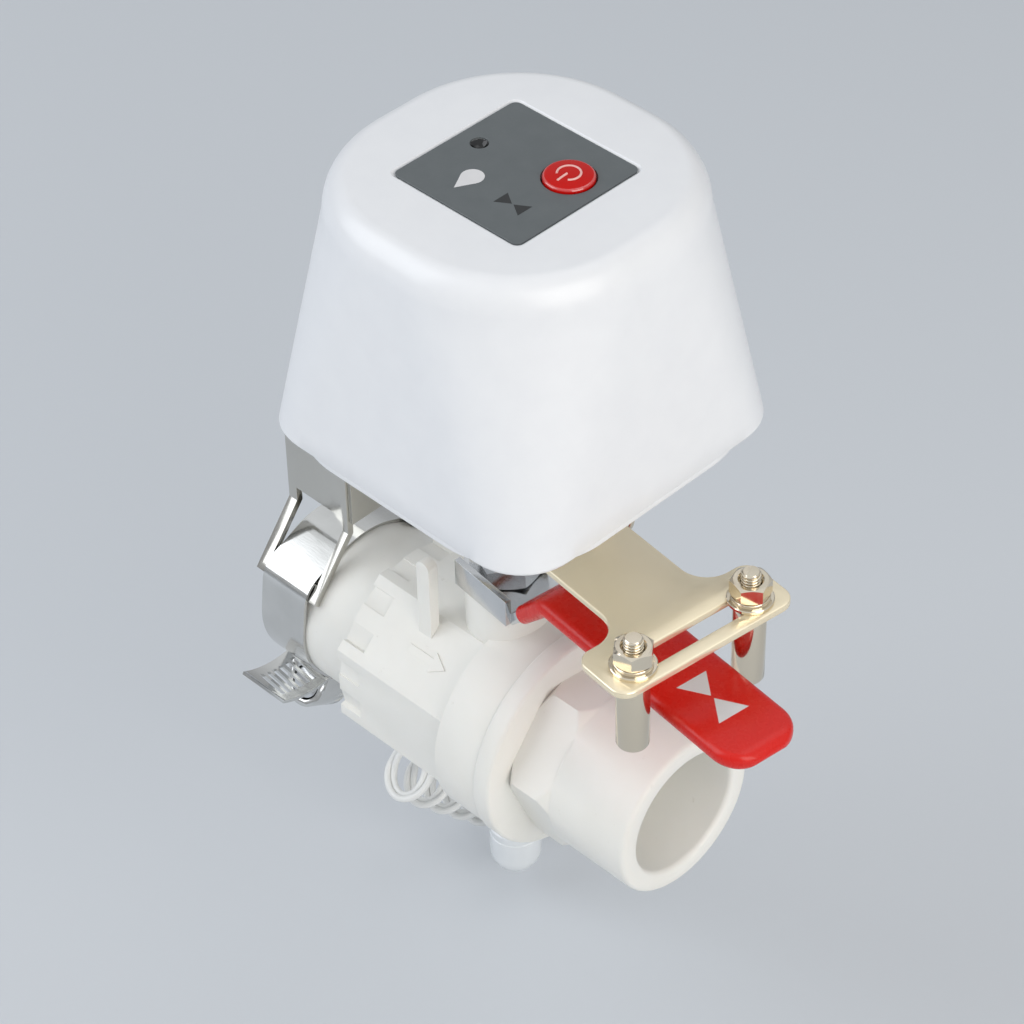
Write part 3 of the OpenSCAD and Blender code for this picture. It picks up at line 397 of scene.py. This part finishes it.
# Turned brass: a yellow sheen with fine rings from the lathe
brass = finish_of("turned_brass", "#b58f4a", "#cda862", 0.4, 0.05, (0.24, 0.34), (1, 1, 6), METAL)
eased("stem", "valve_stem", 0.2, 2, brass, "lever")
eased("shaft_bush", "output_bush", 0.2, 2, brass, "fixed")
eased("drive_pinion", "motor_pinion", 0.06, 1, brass, "pinion")
# Moulded nitrile: dull black
o_ring = finish_of("black_nitrile_rubber", "#0c0c0d", "#18181a", 0.3, 0.2, (0.5, 0.62))
for node, body in (("body_seal", "fixed"), ("stem_rings", "lever")):
    eased(node, node + "_rubber", 0.01, 1, o_ring, body)

# Lever
# A stamped zinc-plated lever on the stem's square, held by a chamfered nut.
# The plating is bright and cool, with a slight cloud in its gloss.
zinc = finish_of("zinc_plated_steel", "#c4c6c8", "#dddedf", 0.5, 0.05, (0.12, 0.22), sockets=METAL)
REST = Matrix.Translation((STEM_X, 0, 0)) @ Matrix.Rotation(math.radians(-7), 4, "Z")
LEVER_Z = 32.3
LEVER_THICK = 2.2
NUT_STEPS = 96
eased("lever_plate", "stamped_lever", 0.6, 4, zinc, "lever")


def chamfered_nut(name, across, height, hole, matrix, material, body, nodes):
    """A hexagon nut with turned chamfers at both ends and a countersunk hole, sizes in mm."""
    face_r = across * 0.47
    sixth = math.pi / 3
    mesh = bmesh.new()
    rings = []
    for radius, z in ((hole, 0.5), (hole + 0.5, 0), (face_r, 0), (None, 0), (None, height),
                      (face_r, height), (hole + 0.5, height), (hole, height - 0.5)):
        ring = []
        for k in range(NUT_STEPS):
            around = 2 * math.pi * k / NUT_STEPS
            r = radius
            drop = 0
            if radius is None:
                # The flats end lower towards the corners, where the chamfer cuts them
                r = across / 2 / math.cos((around + sixth / 2) % sixth - sixth / 2)
                drop = (r - face_r) * (0.55 if z == 0 else -0.55)
            ring.append(mesh.verts.new((r * math.cos(around), r * math.sin(around), z + drop)))
        rings.append(ring)
    wrap(mesh, rings + rings[:1])
    bmesh.ops.recalc_face_normals(mesh, faces=mesh.faces)
    bmesh.ops.transform(mesh, matrix=Matrix.Scale(MM, 4) @ matrix, verts=mesh.verts)
    settle(mesh, name, material, body, nodes, 24)


on_lever = Matrix.Translation((0, 0, LEVER_Z + LEVER_THICK)) @ Matrix.Rotation(math.radians(20), 4, "Z")
chamfered_nut("lever_nut_m8", 13, 5, 4, REST @ on_lever, zinc, "lever", ("lever_nut",))

# Red grip
# Thick dipped vinyl over the lever's strip: soft round edges, an easy bend and a rounded tip.
# A plain white valve sign is printed near the tip.

# Dipped vinyl: an even red with a broad, soft gloss
red_vinyl = finish_of("red_dipped_vinyl", "#cf180e", "#d61d12", 1.6, 0.01, (0.25, 0.3), sockets={
    "Specular IOR Level": 0.32, "Coat Weight": 0.12, "Coat Roughness": 0.1})
GRIP_HALF = 8.8
GRIP_THICK = 1.9
GRIP_Z = 11.1
ROOT_X = 14.2
ROOT_Z = 4.24
SLOPE_LONG = 5.69
BEND_X = 22.72
BEND_R = 4
TIP_X = 71
TIP_R = 6.5
THIN_FROM = 74.9
THIN_LONG = 2.6
# Stations along the grip: place, height, lean, half width and half thickness
stations = []
for k in range(5):
    climb = SLOPE_LONG * k / 4
    stations.append((ROOT_X + climb, ROOT_Z + climb, math.radians(45), GRIP_HALF, GRIP_THICK))
for k in range(1, 9):
    lean = math.radians(45 - 45 * k / 8)
    x = BEND_X - BEND_R * math.sin(lean)
    stations.append((x, GRIP_Z - BEND_R + BEND_R * math.cos(lean), lean, GRIP_HALF, GRIP_THICK))
for k in range(1, 7):
    stations.append((BEND_X + (TIP_X - BEND_X) * k / 6, GRIP_Z, 0, GRIP_HALF, GRIP_THICK))
for k in range(1, 17):
    around = math.radians(90 * k / 16)
    x = TIP_X + TIP_R * math.sin(around)
    thin = max(0.0, (x - THIN_FROM) / THIN_LONG)
    stations.append((x, GRIP_Z, 0, GRIP_HALF - TIP_R * (1 - math.cos(around)),
                     GRIP_THICK * math.sqrt(max(0.01, 1 - thin * thin))))
mesh = bmesh.new()
rings = []
for x, z, lean, half, thick in stations:
    corner = min(1.7, thick * 0.92)
    ring = []
    for quarter in range(4):
        for k in range(7):
            around = math.radians(90 * quarter + 15 * k)
            y = (half - corner) * (1 if quarter in (0, 3) else -1) + corner * math.cos(around)
            up = (thick - corner) * (1 if quarter in (0, 1) else -1) + corner * math.sin(around)
            ring.append(mesh.verts.new((x - up * math.sin(lean), y, LEVER_Z + z + up * math.cos(lean))))
    rings.append(ring)
wrap(mesh, rings)
mesh.faces.new(rings[0])
mesh.faces.new(rings[-1])
bmesh.ops.recalc_face_normals(mesh, faces=mesh.faces)
bmesh.ops.transform(mesh, matrix=Matrix.Scale(MM, 4) @ REST, verts=mesh.verts)
settle(mesh, "red_lever_grip", red_vinyl, "lever", ("lever_grip",), 50)
# Screen ink: nearly white, dull and a little uneven
pale_ink = finish_of("pale_printing_ink", "#d3d2d3", "#dfdedf", 0.3, 0.1, (0.4, 0.5))
grip_top = REST @ Matrix.Translation((61, 0, LEVER_Z + GRIP_Z + GRIP_THICK - 0.01))
bow_tie = [[(-6, -3.6), (-0.4, 0), (-6, 3.6)], [(6, -3.6), (6, 3.6), (0.4, 0)]]
flat_mark("printed_valve_sign", bow_tie, 0.04, grip_top, pale_ink, "lever")

# Bracket and clamp
# Bent from bright nickel-plated sheet; a stainless worm clamp straps its saddle to the valve's neck.
# Both are cool mirrors; the sheet's grain is drawn upwards, and the strip's along the valve.
bright = finish_of("bright_nickel_sheet", "#bdbbb5", "#d4d2cc", 2.0, 0.03, (0.1, 0.18), (1, 1, 0.2), METAL)
eased("clamp_bracket", "saddle_bracket", 0.3, 3, bright, "fixed")
stainless = finish_of("rolled_stainless_strip", "#c6c6c4", "#dcdcda", 0.4, 0.03, (0.1, 0.18),
                      (0.15, 1, 1), METAL)
eased("clamp_band", "clamp_strap", 0.12, 2, stainless, "fixed")
eased("clamp_housing", "clamp_screw_case", 0.3, 2, stainless, "fixed")
eased("clamp_screw", "clamp_worm_screw", 0.3, 2, zinc, "clamp_worm")
eased("bracket_screws", "bracket_pan_screws", 0.2, 2, zinc, "fixed")

# Housing
# A moulded ABS hood, cool white with a satin gloss: square at the foot, nearly round at the top.
# Its flat top has a shallow recess for the label and holes for the button and the lamp.
abs_white = finish_of("satin_white_abs", "#e5e6e9", "#ebecee", 0.4, 0.05, (0.28, 0.36), sockets={
    "IOR": 1.53, "Coat Weight": 0.15, "Coat Roughness": 0.2})
HOUSE_X = STEM_X + 4.6
FOOT_Z = 76
TOP_Z = 132
FOOT_HALF = 35.5
FOOT_CORNER = 11.7
FOOT_ROUND = 0.8
TOP_HALF = 33
TOP_CORNER = 28.5
SHOULDER_IN = 5
SHOULDER_DEEP = 7.4
LEVELS = 12
WALL = 2.2
HOLE_DEEP = 5
BUTTON_HOLE_R = 5.1
LAMP_HOLE_R = 1.8
RECESS_HALF = 15.7
RECESS_CORNER = 1.6
RECESS_DEEP = 0.5
RECESS_FLARE = 1.16
BUTTON_AT = Vector((HOUSE_X + 8.1, 5, TOP_Z))
LAMP_AT = Vector((HOUSE_X - 10.9, 1.6, TOP_Z))
LABEL_AT = Vector((HOUSE_X, 0, TOP_Z))


def hood_section(ring, half, corner, z):
    """Moves a ring of vertices onto a rounded square of that half width and corner radius."""
    for vert in ring:
        angle = math.atan2(vert.co.y, vert.co.x - HOUSE_X * MM)
        c, s = math.cos(angle), math.sin(angle)
        flat = half - corner
        reach = half / max(abs(c), abs(s))
        if min(abs(reach * c), abs(reach * s)) > flat:
            # Ray meets the corner's arc
            along = flat * (abs(c) + abs(s))
            reach = along + math.sqrt(max(0, along * along - 2 * flat * flat + corner * corner))
        vert.co = Vector(((HOUSE_X + reach * c) * MM, reach * s * MM, z * MM))


def rim_of(ring):
    """The edges that join a ring's vertices."""
    return list({e for v in ring for e in v.link_edges if all(w in ring for w in e.verts)})


levels = [(34.6, 11.0, FOOT_Z), (35.2, 11.5, FOOT_Z + 0.2), (FOOT_HALF, FOOT_CORNER, FOOT_Z + FOOT_ROUND)]
side_high = TOP_Z - SHOULDER_DEEP - FOOT_Z - FOOT_ROUND
for k in range(1, LEVELS + 1):
    t = k / LEVELS
    levels.append((FOOT_HALF + (TOP_HALF - FOOT_HALF) * t, FOOT_CORNER + (TOP_CORNER - FOOT_CORNER) * t,
                   FOOT_Z + FOOT_ROUND + side_high * t))
for k in range(1, LEVELS + 1):
    around = math.radians(90 * k / LEVELS)
    inward = SHOULDER_IN * (1 - math.cos(around))
    levels.append((TOP_HALF - inward, TOP_CORNER - inward, TOP_Z - SHOULDER_DEEP * (1 - math.sin(around))))
mesh = bmesh.new()
made = bmesh.ops.create_circle(mesh, cap_ends=False, radius=35 * MM, segments=192,
                               matrix=Matrix.Translation((HOUSE_X * MM, 0, FOOT_Z * MM)))
ring = made["verts"]
hood_section(ring, *levels[0])
for level in levels[1:]:
    ring = new_verts(bmesh.ops.extrude_edge_only(mesh, edges=rim_of(ring)))
    hood_section(ring, *level)
bmesh.ops.contextual_create(mesh, geom=rim_of(ring))
bmesh.ops.recalc_face_normals(mesh, faces=mesh.faces)
skin = placed("hood_skin", mesh_of(mesh, "hood_skin"))
wall = skin.modifiers.new("moulded_wall", "SOLIDIFY")
wall.thickness = WALL * MM
wall.offset = -1
cutters = []
for place, radius, depth in (
    (BUTTON_AT, BUTTON_HOLE_R, HOLE_DEEP),
    (LAMP_AT, LAMP_HOLE_R, HOLE_DEEP),
    (LABEL_AT, None, RECESS_DEEP),
):
    mesh = bmesh.new()
    if radius:
        bmesh.ops.create_circle(mesh, cap_ends=True, radius=radius, segments=64)
    else:
        bmesh.ops.create_grid(mesh, x_segments=1, y_segments=1, size=RECESS_HALF)
        bmesh.ops.bevel(mesh, geom=mesh.verts[:], offset=RECESS_CORNER, offset_type="OFFSET",
                        affect="VERTICES", segments=8, profile=0.5, material=-1)
    upper = new_verts(bmesh.ops.extrude_face_region(mesh, geom=mesh.faces[:]))
    bmesh.ops.translate(mesh, vec=(0, 0, depth + 2), verts=upper)
    if not radius:
        # The recess opens outwards at about 45 degrees, so its slope catches the light
        bmesh.ops.scale(mesh, vec=(RECESS_FLARE, RECESS_FLARE, 1), verts=upper)
    bmesh.ops.translate(mesh, vec=place - Vector((0, 0, depth)), verts=mesh.verts)
    bmesh.ops.scale(mesh, vec=(MM, MM, MM), verts=mesh.verts)
    bmesh.ops.recalc_face_normals(mesh, faces=mesh.faces)
    cutter = placed("hood_cutter", mesh_of(mesh, "hood_cutter"))
    cutters.append(cutter)
    cut = skin.modifiers.new("hole", "BOOLEAN")
    cut.operation = "DIFFERENCE"
    cut.solver = "EXACT"
    cut.object = cutter
bpy.context.view_layer.update()
mesh = bmesh.new()
mesh.from_object(skin, bpy.context.evaluated_depsgraph_get())
for spent in cutters + [skin]:
    bpy.data.objects.remove(spent)
settle(mesh, "housing_hood", abs_white, "fixed", ("housing_shell",), 30)
eased("base_plate", "housing_base", 0.4, 2, abs_white, "fixed")
eased("base_screws", "base_pan_screws", 0.2, 2, zinc, "fixed")

# Label
# A grey printed film in the hood's recess, with the dull even gloss of screen printing.
# Its only signs are a pale drop and a dark valve sign.
film = finish_of("grey_printed_film", "#565c5e", "#616668", 0.25, 0.12, (0.38, 0.48))
eased("label_panel", "grey_label", 0.06, 1, film, "fixed")
DROP_R = 2.2
drop = []
for degree in range(-30, 211, 15):
    around = math.radians(degree)
    drop.append((DROP_R * math.cos(around), DROP_R * math.sin(around)))
drop += [(-0.9, -2.9), (0, -4.6), (0.9, -2.9)]
label_top = Matrix.Translation((HOUSE_X, 0, TOP_Z - 0.11))
flat_mark("printed_drop", [drop], 0.03, label_top @ Matrix.Translation((-4.5, -6.5, 0)), pale_ink, "fixed")
# The same screen ink in near black
dark_ink = finish_of("dark_printing_ink", "#151718", "#222425", 0.3, 0.1, (0.4, 0.5))
small_bow_tie = [[(x / 2, y / 2) for x, y in half] for half in bow_tie]
flat_mark("label_valve_sign", small_bow_tie, 0.03, label_top @ Matrix.Translation((6.5, -7.5, 0)),
          dark_ink, "fixed")

# Push button
# A domed glossy red key with the usual on-off sign in pale raised lines.
# Its face is slightly dulled by touch, and its rim is still polished and catches the lamps.
red_key = finish_of("red_gloss_abs", "#be0b05", "#c9110a", 0.6, 0.03, (0.14, 0.22),
                    sockets={"Specular IOR Level": 0.16})
rim_gloss = finish_of("polished_red_rim", "#c40d06", "#cf140c", 0.6, 0.02, (0.1, 0.16),
                      sockets={"Specular IOR Level": 1, "Coat Weight": 1})
DOME_R = 22
FACE_R = 4.4
SIGN_R = 2.15
SIGN_WIRE = 0.22


def dome_height(r):
    """Height of the key's dome above the hood's top at radius r, in mm."""
    return 1 - DOME_R + math.sqrt(DOME_R * DOME_R - r * r)


key_profile = [(FACE_R * k / 10, dome_height(FACE_R * k / 10)) for k in range(11)]
key_profile += [(4.6, 0.49), (4.73, 0.36), (4.8, 0.15), (4.8, -2.5), (6, -2.5), (6, -3.7), (1.6, -3.7),
                (1.6, -8.5), (0, -8.5)]
button = lathe("red_button", key_profile, BUTTON_AT, red_key, "button", ("power_button",))
button.data.materials.append(rim_gloss)
for face in button.data.polygons:
    out = face.center / MM - BUTTON_AT
    if out.z > 0 and math.hypot(out.x, out.y) > FACE_R + 0.05:
        face.material_index = 1


def tube(name, points, radius_mm, material, body, nodes=()):
    """A round wire along points in mm, with closed ends."""
    curve = bpy.data.curves.new(name, "CURVE")
    curve.dimensions = "3D"
    curve.bevel_depth = radius_mm * MM
    curve.bevel_resolution = 3
    curve.use_fill_caps = True
    path = curve.splines.new("POLY")
    path.points.add(len(points) - 1)
    for knot, place in zip(path.points, points):
        knot.co = (place[0] * MM, place[1] * MM, place[2] * MM, 1)
    maker = placed(name, curve)
    bpy.context.view_layer.update()
    mesh = bmesh.new()
    mesh.from_mesh(bpy.data.meshes.new_from_object(maker))
    bpy.data.objects.remove(maker)
    bmesh.ops.remove_doubles(mesh, verts=mesh.verts, dist=1e-7)
    bmesh.ops.recalc_face_normals(mesh, faces=mesh.faces)
    settle(mesh, name, material, body, nodes, 50)


sign_ring = []
for degree in range(-52, 233, 8):
    around = math.radians(degree)
    rise = Vector((SIGN_R * math.cos(around), SIGN_R * math.sin(around), dome_height(SIGN_R)))
    sign_ring.append(BUTTON_AT + rise)
sign_bar = [BUTTON_AT + Vector((0, -k * 0.5, dome_height(k * 0.5))) for k in range(1, 7)]
# Painted lines: pale pink over the red, with a soft gloss
pink_line = finish_of("pale_pink_line", "#e3aaa4", "#efc0ba", 0.3, 0.05, (0.3, 0.4))
tube("on_off_ring", sign_ring, SIGN_WIRE, pink_line, "button")
tube("on_off_bar", sign_bar, SIGN_WIRE, pink_line, "button")

# Lamp lens
# A light pipe turned from smoked acrylic, dished and set a little deep in its hole.
# Unlit it looks black, with a clear gloss.
smoked = finish_of("smoked_acrylic", "#0b0c0d", "#151618", 0.5, 0.03, (0.08, 0.14))
lathe("lamp_lens", [
    (0, -1.5), (0.7, -1.4), (1.2, -1.1), (1.55, -0.6), (1.75, -0.5), (1.75, -2.2), (2.6, -2.2),
    (2.6, -3.8), (0, -3.8),
], LAMP_AT, smoked, "fixed", ("led_lens",))

# Board, motor and gears
# The works inside the hood: a green circuit board with its moulded parts, the motor in its plated can,
# the plated gear frame, and the moulded output gear on its hub.

# Solder mask: a deep green lacquer, half glossy
board_green = finish_of("green_solder_mask", "#0b3a1d", "#12522a", 0.5, 0.1, (0.3, 0.42))
eased("circuit_board", "controller_board", 0.1, 1, board_green, "fixed")
# Moulded epoxy: near black and slightly rough
moulded_black = finish_of("moulded_black_epoxy", "#141416", "#232326", 0.3, 0.15, (0.42, 0.55))
eased("board_parts", "board_fittings", 0.15, 2, moulded_black, "fixed")
eased("gear_plate", "gear_frame", 0.25, 2, zinc, "fixed")
eased("gear_motor", "motor_can", 0.4, 3, zinc, "fixed")
# Natural acetal: a waxy white
acetal = finish_of("natural_acetal", "#d9d8d2", "#e6e5e0", 0.4, 0.08, (0.3, 0.4))
eased("output_gear", "acetal_output_gear", 0.08, 1, acetal, "arm")
eased("output_shaft", "output_hub", 0.4, 2, zinc, "arm")
eased("arm_screw", "arm_cap_screw", 0.3, 2, zinc, "arm")

# Drive arm
# A T-shaped plate, blanked from steel with eased edges and nickel-plated to a warm, soft mirror.
# Part of the plating's light is scattered, which makes the plate paler than polished nickel.
satin = finish_of("satin_nickel_plate", "#f7e8c6", "#fcf0d5", 1.4, 0.01, (0.16, 0.24),
                  sockets={"Metallic": 0.6})
eased("drive_arm", "slotted_drive_arm", 0.3, 3, satin, "arm")

# Pillars
# Two turned pillars straddle the lever; each has a threaded stud, two washers and a nut.
# They are polished and nickel-plated, a warm mirror with faint upright streaks.
nickel = finish_of("polished_nickel_plate", "#d8cdb8", "#e6dcca", 1.0, 0.02, (0.08, 0.15),
                   (1, 1, 0.15), METAL)
SLOT_X = 55
WASHER_TOP = 58.8
THREAD_R = 1.75
THREAD_PITCH = 0.7
for side, y, nut_turn in (("left", -14, 45), ("right", 14, 22)):
    body = "pillar_" + side
    on_slot = REST @ Matrix.Translation((SLOT_X, y, 0))
    foot = on_slot.translation
    lathe(side + "_guide_pillar", [
        (0, 38), (2.7, 38), (3.05, 38.15), (3.2, 38.5), (3.2, 55.2), (3, 55.66), (1.7, 55.66), (1.7, 64),
        (1.5, 64.2), (0, 64.3),
    ], (foot.x, foot.y, 0), nickel, body, (side + "_pillar",))
    thread = []
    for k in range(48):
        around = math.radians(30 * k)
        rise = 61.2 + THREAD_PITCH * k / 12
        thread.append(foot + Vector((THREAD_R * math.cos(around), THREAD_R * math.sin(around), rise)))
    tube(side + "_stud_thread", thread, 0.24, nickel, body)
    lathe(side + "_pillar_washers", [
        (2.15, 57.2), (4.35, 57.2), (4.5, 57.35), (4.5, 57.85), (4.35, 58), (3.75, 58), (3.8, 58.1),
        (3.8, 58.7), (3.7, WASHER_TOP), (2.15, WASHER_TOP), (2.15, 57.2),
    ], (foot.x, foot.y, 0), nickel, body, (side + "_washers",))
    on_washer = Matrix.Translation((0, 0, WASHER_TOP)) @ Matrix.Rotation(math.radians(nut_turn), 4, "Z")
    chamfered_nut(side + "_pillar_nut", 7, 3.5, 2, on_slot @ on_washer, nickel, body, (side + "_nut",))

# Clutch pull
# A nickel pin with a return spring; its split ring is pulled by hand to free the arm.
# The spring's copy is given a mesh of its own.
eased("clutch_pin", "clutch_pull_pin", 0.25, 2, nickel, "clutch")
clutch_spring = eased("clutch_spring", "clutch_return_spring", 0.02, 1, zinc, "fixed")
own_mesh(clutch_spring)
RING_R = 9.4
RING_WIRE = 0.4
ring_centre = Vector((STEM_X + 11, 14, 51.95))
ring_wire = []
for k in range(97):
    around = math.radians(7.5 * k)
    aside = RING_WIRE * (k / 48 - 1)
    ring_wire.append(ring_centre + Vector((RING_R * math.sin(around), aside, RING_R * math.cos(around))))
tube("clutch_split_ring", ring_wire, RING_WIRE, nickel, "ring", ("pull_ring",))

# Floor and light
# A plain pale floor and a few large soft lamps, as in a small product studio. Metal sees a paler sky.
FLOOR_Z = -0.1
LIT_AT = Vector((0.055, 0, 0.05))
mesh = bmesh.new()
bmesh.ops.create_grid(mesh, x_segments=1, y_segments=1, size=4,
                      matrix=Matrix.Translation((0.05, 0, FLOOR_Z)))
floor = placed("floor", mesh_of(mesh, "floor"))
paper = bpy.data.materials.new("pale_floor_paper")
paper.use_nodes = True
shader = paper.node_tree.nodes["Principled BSDF"]
shader.inputs["Roughness"].default_value = 0.9
shader.inputs["Base Color"].default_value = linear("#ccd0d5")
floor.data.materials.append(paper)


def soft_lamp(name, place, size, power, tint):
    """A square area lamp that faces the valve, cool or warm white by its tint."""
    data = bpy.data.lights.new(name, "AREA")
    data.size = size
    data.energy = power
    data.color = linear(tint)[:3]
    toward = (LIT_AT - Vector(place)).to_track_quat("-Z", "Y").to_matrix().to_4x4()
    placed(name, data).matrix_world = Matrix.Translation(place) @ toward


soft_lamp("key_lamp", (-0.62, -0.7, 0.66), 1.0, 6.6, "#f5f9fe")
soft_lamp("fill_lamp", (1.05, -0.2, 0.45), 0.9, 7, "#fffbf5")
soft_lamp("top_lamp", (0.1, 0.35, 0.9), 0.5, 0.5, "#ffffff")
world = bpy.data.worlds.new("studio")
world.use_nodes = True
sky = world.node_tree
ray = add(sky, "ShaderNodeLightPath", {})
mirror = add(sky, "ShaderNodeMath",
             {0: ray.outputs["Is Glossy Ray"], 1: ray.outputs["Is Transmission Ray"]}, operation="MAXIMUM")
seen = add(sky, "ShaderNodeMath",
           {0: mirror.outputs["Value"], 1: ray.outputs["Is Camera Ray"]}, operation="MAXIMUM")
way = add(sky, "ShaderNodeTexCoord", {})
climb = add(sky, "ShaderNodeSeparateXYZ", {"Vector": way.outputs["Generated"]})
height = add(sky, "ShaderNodeMapRange",
             {"Value": climb.outputs["Z"], "From Min": 0, "From Max": 0.85, "To Min": 0.45, "To Max": 1})
# What lights the part is an even 0.58; what camera and mirrors see grows paler upwards
shine = add(sky, "ShaderNodeMix",
            {"Factor": seen.outputs["Value"], "A": 0.58, "B": height.outputs["Result"]})
sky.nodes["Background"].inputs["Color"].default_value = linear("#eef1f4")
sky.links.new(shine.outputs["Result"], sky.nodes["Background"].inputs["Strength"])
bpy.context.scene.world = world
